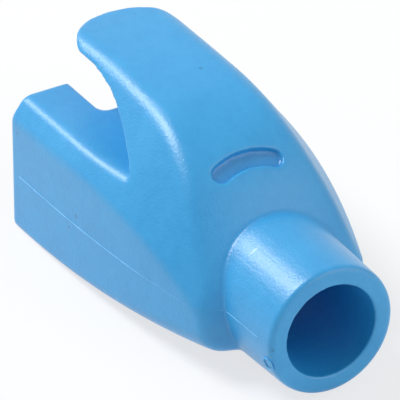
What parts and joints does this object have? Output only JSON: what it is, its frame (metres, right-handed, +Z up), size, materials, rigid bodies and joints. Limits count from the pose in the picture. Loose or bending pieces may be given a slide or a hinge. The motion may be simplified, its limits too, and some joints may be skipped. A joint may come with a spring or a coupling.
{
  "type": "rj45 strain relief boot",
  "caption": "Soft moulded boot for a modular network plug, with a plug pocket, a hood over the latch and a round cable collar.",
  "frame": {"origin": "centre of the cable opening at the collar's rim", "axes": "+X along the cable, out of the collar; +Z up, towards the latch hood; +Y across the boot"},
  "size_m": [0.0259, 0.014, 0.0135],
  "materials": {
    "boot": "matte soft vinyl, moulded in colour"
  },
  "bodies": {
    "root": {"boot": "boot"}
  },
  "joints": []
}
